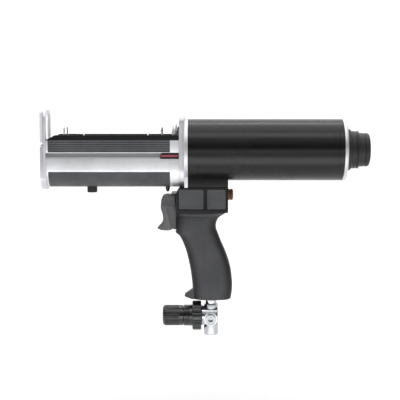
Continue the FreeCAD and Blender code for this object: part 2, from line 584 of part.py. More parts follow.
# ---------------------------------------------------------------- trigger
def trigger():
    pivot_x, pivot_z = value("pivot_station"), value("pivot_up")
    face = [(-62.0, 91.2), (-65.0, 86.4), (-66.2, 79.5), (-66.2, 71.6), (-63.8, 64.0), (-63.2, 57.5),
            (-64.6, 51.4), (-68.0, 47.3), (-71.2, 43.6)]
    finger = extruded(face + [(-66.0, 41.2), (-56.0, 40.5), (-50.6, 41.6), (-58.4, 73.0),
                              (-46.2, 73.0), (-45.8, 80.0), (-45.8, 92.0), (-58.0, 92.2)],
                      22.0, curve=len(face))
    finger = finger.makeFillet(2.6, [edge for edge in finger.Edges
                                     if abs(edge.BoundBox.YLength) < 1e-3 and edge.BoundBox.ZLength > 30
                                     and edge.BoundBox.XMax < -61])
    web = extruded([(-60.0, 91.0), (-60.0, 74.0), (-56.0, 44.0), (-46.0, 41.5), (-40.5, 43.0),
                    (-34.2, 64.0), (-33.0, 70.0), (-33.0, 80.0), (-33.4, 88.5), (-37.0, 91.6)], 13.0)
    hole = Part.makeCylinder(value("pin_radius + 0.03"), 40, FreeCAD.Vector(pivot_x, -20, pivot_z),
                             FreeCAD.Vector(0, 1, 0))
    node(free_form("trigger", finger.fuse(web).cut(hole).removeSplitter()))


# ---------------------------------------------------------------- grip
GRIP = [  # height, front, back, half width
    (67.0, -45.2, 30.0, 20.4), (63.5, -45.4, 24.0, 19.4), (58.0, -45.4, 16.6, 18.2), (50.0, -45.4, 13.2, 17.6),
    (42.0, -45.4, 13.4, 17.4), (37.0, -45.0, 15.4, 17.2), (32.0, -39.6, 17.4, 17.0), (24.0, -35.2, 20.4, 16.8),
    (9.0, -29.6, 27.0, 17.0), (-12.0, -24.7, 33.6, 17.6), (-33.0, -21.6, 36.4, 18.4), (-46.0, -20.8, 36.4, 18.8),
    (-60.0, -20.4, 34.6, 18.6),
]


GRIP_SCREWS = [(20.0, -38.0), (-12.0, -4.0), (-10.0, 28.0)]  # along X, up
LOOP_POINTS = 24
SQUARENESS = 2.8  # 2 would make the loops ellipses


def grip_ring(height, front, back, half, inset):
    """One level of the grip: a rounded, slightly squared loop."""
    middle = (front + back) / 2
    reach = (back - front) / 2 - inset
    across = half - inset
    points = []
    for step in range(LOOP_POINTS):
        angle = 2 * math.pi * step / LOOP_POINTS
        c, s = math.cos(angle), math.sin(angle)
        squared = (abs(c) ** SQUARENESS + abs(s) ** SQUARENESS) ** (-1 / SQUARENESS)
        points.append(FreeCAD.Vector(middle + reach * c * squared, across * s * squared, height))
    loop = Part.BSplineCurve()
    loop.interpolate(points, PeriodicFlag=True)
    return Part.Wire(loop.toShape())


def grip():
    """Two hollow shells that meet on the gun's middle plane, joined by three screws."""
    outer = Part.makeLoft([grip_ring(*level, 0) for level in GRIP], True, False)
    wall = value("grip_wall")
    inner = Part.makeLoft([grip_ring(*level, wall) for level in GRIP[:-1]], True, False)
    slot_width = value("slot_width")
    slot = Part.makeBox(24, slot_width, 40, FreeCAD.Vector(-50, -slot_width / 2, 38.5))
    foot_hole = Part.makeCylinder(value("riser_radius + 0.05"), 30, FreeCAD.Vector(value("riser_station"), 0, -75))
    spur = extruded([(-16.0, -43.0), (-21.5, -46.6), (-27.0, -50.4), (-32.2, -54.2), (-31.0, -56.4),
                     (-22.0, -60.0), (-14.0, -60.0), (-16.6, -50.0)], 20.0, curve=4)
    shell = outer.cut(inner).cut(slot).cut(foot_hole)
    for hand, side in (("left", -1), ("right", 1)):
        room = Part.makeBox(160, 60, 200, FreeCAD.Vector(-80, -60 if side < 0 else 0, -100))
        half = shell.common(room).fuse(spur.common(room))
        for x, z in GRIP_SCREWS:
            half = half.fuse(Part.makeCylinder(4.8, 15, FreeCAD.Vector(x, 0, z), FreeCAD.Vector(0, side, 0)))
            half = half.cut(Part.makeCylinder(value("screw_radius"), 13 if side < 0 else 30,
                                              FreeCAD.Vector(x, 0, z), FreeCAD.Vector(0, side, 0)))
        if side > 0:
            for x, z in GRIP_SCREWS:
                half = half.cut(Part.makeCylinder(4.0, 12, FreeCAD.Vector(x, 13.4, z), FreeCAD.Vector(0, 1, 0)))
        node(free_form(f"grip_shell_{hand}", half))
    screws = []
    for x, z in GRIP_SCREWS:
        shank = Part.makeCylinder(value("screw_radius - 0.05"), 25.5, FreeCAD.Vector(x, -12, z),
                                  FreeCAD.Vector(0, 1, 0))
        head = Part.makeCylinder(3.9, 1.8, FreeCAD.Vector(x, 13.5, z), FreeCAD.Vector(0, 1, 0))
        screws.append(shank.fuse(head))
    node(free_form("grip_screws", Part.makeCompound(screws)))
    node(cut("air_tube",
             rod("hose_out", "z", "riser_station", "0", "reg_up + 22", "hose_radius", "housing_low - reg_up - 20.5"),
             rod("hose_in", "z", "riser_station", "0", "reg_up + 21", "hose_bore", "housing_low - reg_up - 18")))


# ---------------------------------------------------------------- regulator
NUT_FLUTES = 12
KNOB_FLUTES = 24


def regulator():
    low = rod("reg_drum", "x", "reg_front", "0", "reg_up", "reg_radius", "reg_rear - reg_front")
    drum = rounded("reg_drum_round", low, "1.5", lambda edge: edge.BoundBox.XLength < 0.1
                   and edge.BoundBox.XMin > value("reg_rear - 0.1"))
    port = rod("reg_port", "z", "riser_station", "0", "port_low", "port_radius", "reg_up - port_low")
    doc.recompute()
    port = rounded("reg_port_round", port, "1.8", lambda edge: edge.BoundBox.ZMax < value("port_low + 0.1"))
    riser = rod("reg_riser", "z", "riser_station", "0", "reg_up", "riser_radius + 2", "17")
    gauge = rod("reg_gauge", "y", "riser_station - 0.6", "0 - reg_radius - 1.5", "reg_up - 3", "gauge_radius + 1.6",
                "2 * reg_radius + 3")
    blank = join("reg_blank", drum, port, riser, gauge)
    spring_room = rod("reg_spring_room", "x", "reg_front - 1", "0", "reg_up", "10.5", "8")
    seat = rod("reg_seat", "x", "reg_front + 6", "0", "reg_up", "3.4", "11")
    inlet = rod("reg_inlet", "z", "riser_station", "0", "port_low - 1", "thread_radius", "thread_deep + 1")
    way = rod("reg_way", "z", "riser_station", "0", "port_low + 2", "2.6", "14")
    outlet = rod("reg_outlet", "z", "riser_station", "0", "reg_up + 7", "5", "12")
    gauges = [rod(f"reg_gauge_bore_{hand}", "y", "riser_station - 0.6", y, "reg_up - 3", "gauge_radius - 1.9", "7")
              for hand, y in (("left", "0 - reg_radius - 2.5"), ("right", "reg_radius - 4.5"))]
    node(cut("regulator_body", blank, spring_room, seat, inlet, way, outlet, *gauges))
    plugs = []
    for hand, side in (("left", -1), ("right", 1)):
        y = "0 - reg_radius - 2.3" if side < 0 else "reg_radius - 4"
        head_y = "0 - reg_radius - 2.9" if side < 0 else "reg_radius + 1.5"
        shank = rod(f"gauge_shank_{hand}", "y", "riser_station - 0.6", y, "reg_up - 3", "gauge_radius - 2", "6.3")
        head = rod(f"gauge_head_{hand}", "y", "riser_station - 0.6", head_y, "reg_up - 3", "gauge_radius", "1.4")
        key = doc.addObject("Part::Prism", f"gauge_key_{hand}")
        key.Polygon = 6
        key.Placement = FreeCAD.Placement(FreeCAD.Vector(), TURN["y"])
        bind(key, Circumradius="3.9", Height="4")
        place(key, "riser_station - 0.6", "0 - reg_radius - 3.5" if side < 0 else "reg_radius - 0.5", "reg_up - 3")
        plugs.append(cut(f"gauge_plug_{hand}", join(f"gauge_blank_{hand}", shank, head), key))
    node(group("gauge_port_plugs", *plugs))

    node(turned("inlet_adapter",
                [("0", "2.6"), ("0", "4.95"), ("7", "4.95"), ("7", "riser_radius"), ("15.4", "riser_radius"),
                 ("15.4", "5.6"), ("19", "5.6"), ("19", "hose_radius + fit_gap"), ("11", "hose_radius + fit_gap"),
                 ("11", "2.6")], "riser_station", "0", "reg_up + 10", "z"))

    bonnet_start = "0 - bonnet_long"
    node(turned("regulator_bonnet",
                [(bonnet_start, "3.05"), (bonnet_start, "bonnet_radius - 2"), (f"{bonnet_start} + 1", "bonnet_radius"),
                 ("1.8", "bonnet_radius"), ("1.8", "17.4"), ("11", "17.4"), ("11", "13.2"),
                 (f"{bonnet_start} + 3", "12"), (f"{bonnet_start} + 3", "3.05")],
                "reg_front - reg_nut_long", "0", "reg_up"))
    ring = turned("nut_turning",
                  [("0 - reg_nut_long", "15.8"), ("0 - reg_nut_long", "nut_radius - 1.2"),
                   ("1.2 - reg_nut_long", "nut_radius"), ("0 - 1", "nut_radius"), ("0", "nut_radius - 1"),
                   ("0", "17.6"), ("1.6 - reg_nut_long", "17.6"), ("1.6 - reg_nut_long", "15.8")],
                  "reg_front", "0", "reg_up")
    flutes = []
    for n in range(NUT_FLUTES):
        angle = 2 * math.pi * (n + 0.5) / NUT_FLUTES
        flute = rod(f"nut_flute_{n}", "x", "reg_front - reg_nut_long - 1", "0", "0", "2.6", "reg_nut_long + 2")
        reach = "(nut_radius + 0.2)"
        flute.setExpression("Placement.Base.y", words(f"{reach} * {math.cos(angle):.5f}"))
        flute.setExpression("Placement.Base.z", words(f"reg_up + {reach} * {math.sin(angle):.5f}"))
        flutes.append(flute)
    node(cut("bonnet_ring_nut", ring, *flutes))
    node(turned("diaphragm", [("0", "0"), ("0", "13"), ("1.4", "13"), ("1.4", "0")],
                "reg_front - 1.6", "0", "reg_up"))
    node(turned("poppet_valve", [("0", "0"), ("0", "3.2"), ("8", "3.2"), ("8", "0")],
                "reg_front + 6.2", "0", "reg_up"))
    node(turned("spring_seat", [("0", "0"), ("0", "9"), ("1.6", "9"), ("1.6", "0")],
                "reg_front - reg_nut_long - 8.2", "0", "reg_up"))
    node(spring("adjusting_spring", value("reg_front - reg_nut_long - 6.5"), 0, value("reg_up"), 7.5, 1.1, 17.8, 5))
    node(turned("adjusting_screw",
                [("0 - 24", "0"), ("0 - 24", "3"), ("0", "3"), ("0", "0")],
                "reg_front - reg_nut_long - 8.3", "0", "reg_up"))
    knob()


def knob():
    """A cap with lengthwise flutes that slides on the end of the adjusting screw."""
    end = "0 - knob_long"
    blank = turned("knob_turning",
                   [(end, "0"), (end, "knob_radius - 3.4"), (f"{end} + 1", "knob_radius - 1.5"),
                    (f"{end} + 3.2", "knob_radius"), ("0", "knob_radius"), ("0", "3.05"),
                    ("0 - 21", "3.05"), ("0 - 21", "0")],
                   "reg_front - reg_nut_long - bonnet_long - 0.3", "0", "reg_up")
    flutes = []
    for n in range(KNOB_FLUTES):
        angle = 2 * math.pi * n / KNOB_FLUTES
        flute = rod(f"knob_flute_{n}", "x", "reg_front - reg_nut_long - bonnet_long - knob_long + 2.6", "0", "0",
                    "1.3", "knob_long - 9")
        reach = "(knob_radius + 0.3)"
        flute.setExpression("Placement.Base.y", words(f"{reach} * {math.cos(angle):.5f}"))
        flute.setExpression("Placement.Base.z", words(f"reg_up + {reach} * {math.sin(angle):.5f}"))
        flutes.append(flute)
    node(cut("regulator_knob", blank, *flutes))


# ---------------------------------------------------------------- marker
def marker():
    nose = "marker_front"
    tall_low = "(groove_low + groove_high) / 2 - marker_tall / 2"
    body = box("marker_body", nose, "0 - trough_radius - skin_thick - 0.4", tall_low, "marker_long",
               "groove_deep + skin_thick + 0.3", "marker_tall")
    foot = box("marker_foot", nose, "0 - trough_radius + groove_deep + 0.1", "groove_low - groove_lip + 0.2",
               "marker_long", "groove_deep - 0.2", "groove_high - groove_low + 2 * groove_lip - 0.4")
    stem = box("marker_stem", nose, "0 - trough_radius - 0.2", "groove_low + 0.3", "marker_long",
               "groove_deep * 2 - 0.2", "groove_high - groove_low - 0.6")
    sink_low = "(groove_low + groove_high) / 2 - flag_tall / 2"
    sink = box("marker_sink", f"{nose} + 1", "0 - trough_radius - skin_thick - 1", sink_low, "marker_long - 2",
               "1.2", "flag_tall")
    node(cut("marker_slide", join("marker_blank", body, foot, stem), sink))
    node(box("marker_flag", f"{nose} + 1.05", "0 - trough_radius - skin_thick - 0.5", f"{sink_low} + 0.05",
             "marker_long - 2.1", "0.7", "flag_tall - 0.1"))


# ---------------------------------------------------------------- build, check and write
def check():
    doc.recompute()
    for obj in doc.Objects:
        if {"Invalid", "Error"} & set(obj.State):
            raise RuntimeError(f"{obj.Name} failed: {obj.State}")
    for obj in NODES:
        if obj.Shape.isNull() or not obj.Shape.isValid() or not obj.Shape.Solids:
            raise RuntimeError(f"{obj.Label} has no valid solid")


def write():
    os.makedirs("parts", exist_ok=True)
    for obj in NODES:
        obj.Shape.exportStep(f"parts/{obj.Label}.step")
        box_of = obj.Shape.BoundBox
        print(f"{obj.Label:22s} solids {len(obj.Shape.Solids)}  "
              f"x {box_of.XMin:7.1f} {box_of.XMax:7.1f}  y {box_of.YMin:6.1f} {box_of.YMax:6.1f}  "
              f"z {box_of.ZMin:6.1f} {box_of.ZMax:6.1f}")
    print(len(NODES), "sub-parts")


front_end()
carrier()
cylinder()
ram()
housing()
trigger()
grip()
regulator()
marker()
check()
write()
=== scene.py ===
import json
import math

import bmesh
import bpy
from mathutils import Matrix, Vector


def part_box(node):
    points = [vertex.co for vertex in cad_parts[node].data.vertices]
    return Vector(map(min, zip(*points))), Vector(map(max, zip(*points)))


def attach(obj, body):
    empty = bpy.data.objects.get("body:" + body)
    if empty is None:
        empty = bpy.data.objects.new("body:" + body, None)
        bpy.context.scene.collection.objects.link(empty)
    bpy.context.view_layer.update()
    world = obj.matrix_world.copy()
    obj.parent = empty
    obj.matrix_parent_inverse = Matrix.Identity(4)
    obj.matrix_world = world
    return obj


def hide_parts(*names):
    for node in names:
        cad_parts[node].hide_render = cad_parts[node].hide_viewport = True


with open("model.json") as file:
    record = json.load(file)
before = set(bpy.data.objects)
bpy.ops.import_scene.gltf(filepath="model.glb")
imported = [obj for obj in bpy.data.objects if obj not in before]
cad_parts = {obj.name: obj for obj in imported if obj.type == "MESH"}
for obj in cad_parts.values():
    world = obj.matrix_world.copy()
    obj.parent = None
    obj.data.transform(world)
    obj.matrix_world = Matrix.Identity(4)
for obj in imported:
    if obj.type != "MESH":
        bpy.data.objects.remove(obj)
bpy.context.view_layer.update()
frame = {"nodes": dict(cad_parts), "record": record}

MM = 0.001
NODES = frame["nodes"]
BODY_OF = {node: body for body, nodes in frame["record"]["behaviour"]["bodies"].items() for node in nodes}
SLOT_OF = {part["node"]: part["material_slot"] for part in frame["record"]["subparts"]}


# ---------------------------------------------------------------- places read from the frame, in metres
def low(node):
    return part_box(node)[0]


def high(node):
    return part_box(node)[1]


def middle(node):
    lowest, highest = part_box(node)
    return (lowest + highest) / 2


# ---------------------------------------------------------------- materials
def principled(name, colour, rough, metal=0.0, specular=0.5):
    """A material with its uniform values set on the shader, its node tree and the shader."""
    material = bpy.data.materials.new(name)
    material.use_nodes = True
    tree = material.node_tree
    shader = tree.nodes["Principled BSDF"]
    shader.inputs["Base Color"].default_value = (*colour, 1)
    shader.inputs["Roughness"].default_value = rough
    shader.inputs["Metallic"].default_value = metal
    shader.inputs["Specular IOR Level"].default_value = specular
    return material, tree, shader


def add(tree, kind, **values):
    """Adds a shader node and sets its properties and inputs."""
    made = tree.nodes.new(kind)
    for key, value in values.items():
        if hasattr(made, key):
            setattr(made, key, value)
        else:
            made.inputs[key.replace("_", " ")].default_value = value
    return made


def grain(tree, scale, stretch=(1, 1, 1), detail=4.0, rough=0.6):
    """Noise in the piece's own metres, stretched along an axis for brushing."""
    place = add(tree, "ShaderNodeTexCoord")
    mapping = add(tree, "ShaderNodeMapping", Scale=stretch)
    noise = add(tree, "ShaderNodeTexNoise", Scale=scale, Detail=detail, Roughness=rough)
    tree.links.new(place.outputs["Object"], mapping.inputs["Vector"])
    tree.links.new(mapping.outputs["Vector"], noise.inputs["Vector"])
    return noise.outputs["Fac"]


def spread(tree, source, start, end, low_at=0.35, high_at=0.65):
    """Maps noise to a range of values."""
    ramp = add(tree, "ShaderNodeMapRange")
    ramp.inputs["From Min"].default_value = low_at
    ramp.inputs["From Max"].default_value = high_at
    ramp.inputs["To Min"].default_value = start
    ramp.inputs["To Max"].default_value = end
    tree.links.new(source, ramp.inputs["Value"])
    return ramp.outputs["Result"]


def blend_colour(tree, source, first, second):
    """Colour that runs from first to second with the source."""
    ramp = add(tree, "ShaderNodeValToRGB")
    ramp.color_ramp.elements[0].position = 0.35
    ramp.color_ramp.elements[1].position = 0.68
    ramp.color_ramp.elements[0].color = (*first, 1)
    ramp.color_ramp.elements[1].color = (*second, 1)
    tree.links.new(source, ramp.inputs["Fac"])
    return ramp.outputs["Color"]


def bump(tree, shader, source, strength, distance):
    """Lets noise raise and lower the surface a little."""
    made = add(tree, "ShaderNodeBump", Strength=strength, Distance=distance)
    tree.links.new(source, made.inputs["Height"])
    tree.links.new(made.outputs["Normal"], shader.inputs["Normal"])


def tinted(colour, factor):
    """The colour made lighter or darker."""
    return tuple(min(1.0, c * factor) for c in colour)


def brushed_metal(name, colour, rough, stretch, depth=0.10, metal=1.0):
    """Aluminium or steel with fine lines drawn along one axis."""
    material, tree, shader = principled(name, colour, rough, metal=metal)
    lines = grain(tree, 900, stretch)
    clouds = grain(tree, 22, (1, 1, 1), 3)
    tree.links.new(spread(tree, lines, rough - 0.07, rough + 0.09), shader.inputs["Roughness"])
    tree.links.new(blend_colour(tree, clouds, tinted(colour, 0.90), tinted(colour, 1.06)),
                   shader.inputs["Base Color"])
    bump(tree, shader, lines, depth, 0.0002)
    return material


def blasted_metal(name, colour, rough):
    """Bead-blasted, clear anodised aluminium."""
    material, tree, shader = principled(name, colour, rough, metal=1.0)
    fine = grain(tree, 2600, (1, 1, 1), 2)
    clouds = grain(tree, 30, (1, 1, 1), 3)
    tree.links.new(spread(tree, clouds, rough - 0.05, rough + 0.07), shader.inputs["Roughness"])
    tree.links.new(blend_colour(tree, clouds, tinted(colour, 0.92), tinted(colour, 1.05)),
                   shader.inputs["Base Color"])
    bump(tree, shader, fine, 0.16, 0.0002)
    return material


def moulded(name, colour, rough, scale=1500, depth=0.25, specular=0.5):
    """Moulded plastic with a fine spark-eroded texture and slightly rubbed high spots."""
    material, tree, shader = principled(name, colour, rough, specular=specular)
    fine = grain(tree, scale, (1, 1, 1), 3)
    rubbed = grain(tree, 34, (1, 1, 1), 5)
    tree.links.new(spread(tree, rubbed, rough + 0.06, rough - 0.07), shader.inputs["Roughness"])
    tree.links.new(blend_colour(tree, rubbed, tinted(colour, 0.90), tinted(colour, 1.14)),
                   shader.inputs["Base Color"])
    bump(tree, shader, fine, depth, 0.0003)
    return material


def anodised_black(name, colour, rough):
    """Satin black anodised tube: faint drawn lines along its length, faint handling marks."""
    material, tree, shader = principled(name, colour, rough, specular=0.42)
    lines = grain(tree, 700, (0.012, 1, 1), 3)
    marks = grain(tree, 18, (1, 1, 1), 6)
    tree.links.new(spread(tree, marks, rough - 0.03, rough + 0.05), shader.inputs["Roughness"])
    tree.links.new(blend_colour(tree, marks, tinted(colour, 0.85), tinted(colour, 1.2)),
                   shader.inputs["Base Color"])
    bump(tree, shader, lines, 0.018, 0.0002)
    return material


def plated(name, colour, rough):
    """Bright plating over a cast body, with a slight orange peel."""
    material, tree, shader = principled(name, colour, rough, metal=1.0)
    peel = grain(tree, 420, (1, 1, 1), 2)
    haze = grain(tree, 60, (1, 1, 1), 4)
    tree.links.new(spread(tree, haze, rough - 0.03, rough + 0.09), shader.inputs["Roughness"])
    tree.links.new(blend_colour(tree, haze, tinted(colour, 0.94), tinted(colour, 1.03)),
                   shader.inputs["Base Color"])
    bump(tree, shader, peel, 0.06, 0.0002)
    return material


def sintered(name, colour, rough):
    """Sintered bronze: a granular, porous surface."""
    material, tree, shader = principled(name, colour, rough, metal=1.0)
    place = add(tree, "ShaderNodeTexCoord")
    grains = add(tree, "ShaderNodeTexVoronoi", Scale=1700.0)
    tree.links.new(place.outputs["Object"], grains.inputs["Vector"])
    tree.links.new(blend_colour(tree, grains.outputs["Distance"], tinted(colour, 1.3), tinted(colour, 0.35)),
                   shader.inputs["Base Color"])
    bump(tree, shader, grains.outputs["Distance"], 0.8, 0.0006)
    return material


def strap_shaded_moulding(name, colour, rough, strap_shade):
    """Grip plastic with painted shade on its front and back straps: the colour darkens towards the strap
    colour where the surface faces along the gun.
    """
    material, tree, shader = principled(name, colour, rough, specular=0.35)
    fine = grain(tree, 900, (1, 1, 1), 3)
    rubbed = grain(tree, 34, (1, 1, 1), 5)
    # painted shade: faces turned towards the front or back, found from the normal's X, are mixed towards the
    # dark strap colour
    facing = add(tree, "ShaderNodeTexCoord")
    parts = add(tree, "ShaderNodeSeparateXYZ")
    tree.links.new(facing.outputs["Normal"], parts.inputs["Vector"])
    size = add(tree, "ShaderNodeMath", operation="ABSOLUTE")
    tree.links.new(parts.outputs["X"], size.inputs[0])
    mixed = add(tree, "ShaderNodeMix", data_type="RGBA")
    tree.links.new(spread(tree, size.outputs["Value"], 0.0, 1.0, 0.20, 0.60), mixed.inputs[0])
    tree.links.new(blend_colour(tree, rubbed, tinted(colour, 0.92), tinted(colour, 1.12)), mixed.inputs[6])
    tree.links.new(blend_colour(tree, rubbed, tinted(strap_shade, 0.9), tinted(strap_shade, 1.2)), mixed.inputs[7])
    tree.links.new(mixed.outputs[2], shader.inputs["Base Color"])
    tree.links.new(spread(tree, rubbed, rough + 0.06, rough - 0.07), shader.inputs["Roughness"])
    bump(tree, shader, fine, 0.30, 0.0003)
    return material


def groove_painted_shade(foot, crown):
    """The trough's metal with painted shade in the marker's groove: darkest through the middle heights,
    lighter towards its foot and crown.
    """
    colour, rough = (0.86, 0.88, 0.90), 0.45
    material, tree, shader = principled("groove_painted_shade", colour, rough, metal=0.7)
    lines = grain(tree, 900, (0.012, 1, 1))
    place = add(tree, "ShaderNodeTexCoord")
    parts = add(tree, "ShaderNodeSeparateXYZ")
    tree.links.new(place.outputs["Object"], parts.inputs["Vector"])
    ramp = add(tree, "ShaderNodeValToRGB")
    # painted shade: tone of the groove floor from foot to crown, darkest in the middle
    stops = ((0.22, 0.9), (0.36, 0.30), (0.78, 0.30), (0.90, 0.75))
    for n, (at, tone) in enumerate(stops):
        stop = ramp.color_ramp.elements[n] if n < 2 else ramp.color_ramp.elements.new(at)
        stop.position = at
        stop.color = (*tinted(colour, tone), 1)
    tree.links.new(spread(tree, parts.outputs["Z"], 0.0, 1.0, foot, crown), ramp.inputs["Fac"])
    tree.links.new(ramp.outputs["Color"], shader.inputs["Base Color"])
    tree.links.new(spread(tree, lines, rough - 0.07, rough + 0.09), shader.inputs["Roughness"])
    bump(tree, shader, lines, 0.10, 0.0002)
    return material


MATERIALS = {
    "anodised_aluminium": brushed_metal("drawn_aluminium", (0.90, 0.92, 0.94), 0.42, (0.012, 1, 1),
                                        metal=0.72),
    "cast_aluminium": blasted_metal("blasted_aluminium", (0.74, 0.74, 0.77), 0.46),
    "black_cylinder": anodised_black("black_anodised", (0.0045, 0.0045, 0.005), 0.25),
    "dark_panel": moulded("dark_film", (0.078, 0.080, 0.086), 0.55, 2600, 0.08, specular=0.3),
    "black_plastic": moulded("black_moulding", (0.008, 0.008, 0.0085), 0.40, 1400, 0.16, specular=0.28),
    # the last colour is the painted shade on the grip's front and back straps
    "grip_plastic": strap_shaded_moulding("charcoal_moulding", (0.060, 0.061, 0.066), 0.52, (0.016, 0.016, 0.017)),
    "trigger_plastic": moulded("trigger_moulding", (0.10, 0.10, 0.105), 0.45, 1100, 0.25),
    "steel": brushed_metal("ground_steel", (0.62, 0.62, 0.64), 0.26, (1, 1, 1), 0.05),
    "chrome": plated("bright_plating", (0.55, 0.56, 0.585), 0.17),
    "black_steel": moulded("black_oxide", (0.030, 0.030, 0.032), 0.38, 2000, 0.10),
    "rubber": moulded("nitrile_rubber", (0.022, 0.022, 0.023), 0.62, 1800, 0.30),
    "brass": sintered("sintered_bronze", (0.34, 0.20, 0.12), 0.5),
    "red_flag": moulded("red_moulding", (0.34, 0.065, 0.085), 0.40, 1800, 0.08),
    "tube_plastic": moulded("blue_tube", (0.05, 0.09, 0.30), 0.30, 900, 0.05),
}
RIDGE_FILM = moulded("ridge_film", (0.115, 0.118, 0.125), 0.5, 2600, 0.08, specular=0.3)
# painted shade: a much darker copy of the strip film for the sunk floors between the ribs
RIB_FLOOR_SHADE = moulded("rib_floor_painted_shade", (0.018, 0.018, 0.020), 0.5, 2600, 0.08)
SATIN_BLACK = moulded("satin_black_moulding", (0.018, 0.018, 0.019), 0.42, 1400, 0.16, specular=0.4)
PLUG_PLATING = plated("plug_plating", (0.40, 0.41, 0.43), 0.20)
GLOSSY_BLACK = moulded("glossy_black_moulding", (0.006, 0.006, 0.0065), 0.20, 1500, 0.06, specular=0.85)
for node, item in NODES.items():
    material = MATERIALS[SLOT_OF[node]]
    if not item.data.materials:
        item.data.materials.append(material)
    for place in item.material_slots:
        place.material = material


# ---------------------------------------------------------------- mesh helpers, in millimetres
def prism(outline, axis, start, end):
    """Vertices and faces of an outline pushed along one axis."""
    count = len(outline)
    verts = [{"x": (level, a, b), "y": (a, level, b), "z": (a, b, level)}[axis]
             for level in (start, end) for a, b in outline]
    faces = [tuple(range(count)), tuple(range(2 * count - 1, count - 1, -1))]
    faces += [(n, (n + 1) % count, count + (n + 1) % count, count + n) for n in range(count)]
    return verts, faces


def brick(x, y, z):
    """A block between two limits on each axis, used as a cutter."""
    return prism([(x[0], z[0]), (x[1], z[0]), (x[1], z[1]), (x[0], z[1])], "y", y[0], y[1])


def hexagon(axis, centre, size, start, end):
    """A six-sided bar along an axis, used to cut screw sockets."""
    outline = [(centre[0] + size * math.cos(math.radians(60 * n + 30)),
                centre[1] + size * math.sin(math.radians(60 * n + 30))) for n in range(6)]
    return prism(outline, axis, start, end)


def spun(profile, axis, centre, steps=128):
    """Vertices and faces of a closed (station, radius) profile turned about an axis."""
    verts = []
    for n in range(steps):
        turn = 2 * math.pi * n / steps
        for station, radius in profile:
            a, b = radius * math.cos(turn), radius * math.sin(turn)
            verts.append({"x": (station, centre[0] + a, centre[1] + b),
                          "y": (centre[0] + a, station, centre[1] + b),
                          "z": (centre[0] + a, centre[1] + b, station)}[axis])
    count = len(profile)
    faces = []
    for n in range(steps):
        here, there = n * count, (n + 1) % steps * count
        faces += [(here + k, here + (k + 1) % count, there + (k + 1) % count, there + k)
                  for k in range(count)]
    return verts, faces


def eased(points, radius, cuts=3):
    """A closed outline with its corners rounded, but not those on the axis or nearly straight."""
    out = []
    count = len(points)
    for n in range(count):
        before, corner, after = (Vector((*points[(n + k) % count], 0)) for k in (-1, 0, 1))
        back, on = before - corner, after - corner
        if back.length < 1e-6 or on.length < 1e-6 or corner.y < 1e-6 or back.angle(on) > math.radians(160):
            out.append((corner.x, corner.y))
            continue
        reach = min(radius, 0.45 * back.length, 0.45 * on.length)
        first, last = corner + back.normalized() * reach, corner + on.normalized() * reach
        for k in range(cuts + 1):
            t = k / cuts
            spot = first * (1 - t) ** 2 + corner * 2 * t * (1 - t) + last * t ** 2
            out.append((spot.x, spot.y))
    return out


def mesh_of(name, shapes):
    """One mesh in metres from lists of vertices and faces in millimetres."""
    work = bmesh.new()
    for verts, faces in shapes:
        made = [work.verts.new(Vector(v) * MM) for v in verts]
        for face in faces:
            work.faces.new([made[n] for n in face])
    bmesh.ops.remove_doubles(work, verts=work.verts, dist=1e-7)
    bmesh.ops.dissolve_degenerate(work, dist=1e-7, edges=work.edges)
    bmesh.ops.recalc_face_normals(work, faces=work.faces)
    mesh = bpy.data.meshes.new(name)
    work.to_mesh(mesh)
    work.free()
    return mesh


def cad_mesh(node):
    """A copy of a CAD node's mesh with its flat faces made whole again."""
    mesh = NODES[node].data.copy()
    work = bmesh.new()
    work.from_mesh(mesh)
    bmesh.ops.remove_doubles(work, verts=work.verts, dist=1e-6)
    bmesh.ops.dissolve_limit(work, angle_limit=math.radians(0.4), verts=work.verts, edges=work.edges)
    work.to_mesh(mesh)
    work.free()
    return mesh


def apply_modifiers(piece):
    """Turns a piece's modifiers into plain mesh."""
    graph = bpy.context.evaluated_depsgraph_get()
    made = bpy.data.meshes.new_from_object(piece.evaluated_get(graph), depsgraph=graph)
    piece.modifiers.clear()
    piece.data = made


def carve(piece, cutters):
    """Cuts closed shapes out of a piece."""
    tools = []
    for n, shape in enumerate(cutters):
        tool = bpy.data.objects.new(f"cutter_{n}", mesh_of("cutter", [shape]))
        bpy.context.scene.collection.objects.link(tool)
        step = piece.modifiers.new(f"cut_{n}", "BOOLEAN")
        step.operation = "DIFFERENCE"
        step.solver = "EXACT"
        step.object = tool
        tools.append(tool)
    bpy.context.view_layer.update()
    apply_modifiers(piece)
    for tool in tools:
        bpy.data.objects.remove(tool)


def finished(name, mesh, nodes, width=0.0, cutters=(), segments=2, bevel_from=28, smooth_to=40,
             material=None):
    """A piece that stands for CAD nodes, with cuts made and sharp edges rounded."""
    piece = bpy.data.objects.new(name, mesh)
    bpy.context.scene.collection.objects.link(piece)
    if cutters:
        carve(piece, cutters)
    if width:
        edge = piece.modifiers.new("edge", "BEVEL")
        edge.width = width * MM
        edge.segments = segments
        edge.limit_method = "ANGLE"
        edge.angle_limit = math.radians(bevel_from)
        apply_modifiers(piece)
    for face in piece.data.polygons:
        face.use_smooth = True
    piece.data.set_sharp_from_angle(angle=math.radians(smooth_to))
    slot = SLOT_OF[nodes[0]]
    piece.data.materials.clear()
    piece.data.materials.append(material or MATERIALS[slot])
    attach(piece, BODY_OF[nodes[0]])
    return piece


def softened(node, width, cutters=(), **style):
    """The CAD node's own shape with its edges rounded, in its place."""
    piece = finished(f"{node}_skin", cad_mesh(node), [node], width, cutters, **style)
    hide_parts(node)
    return piece


def remade(node, shapes, width=0.0, cutters=(), **style):
    """A new shape in a CAD node's place."""
    piece = finished(f"{node}_skin", mesh_of(node, shapes), [node], width, cutters, **style)
    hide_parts(node)
    return piece


def mm(vector):
    """A place in millimetres."""
    return [value / MM for value in vector]


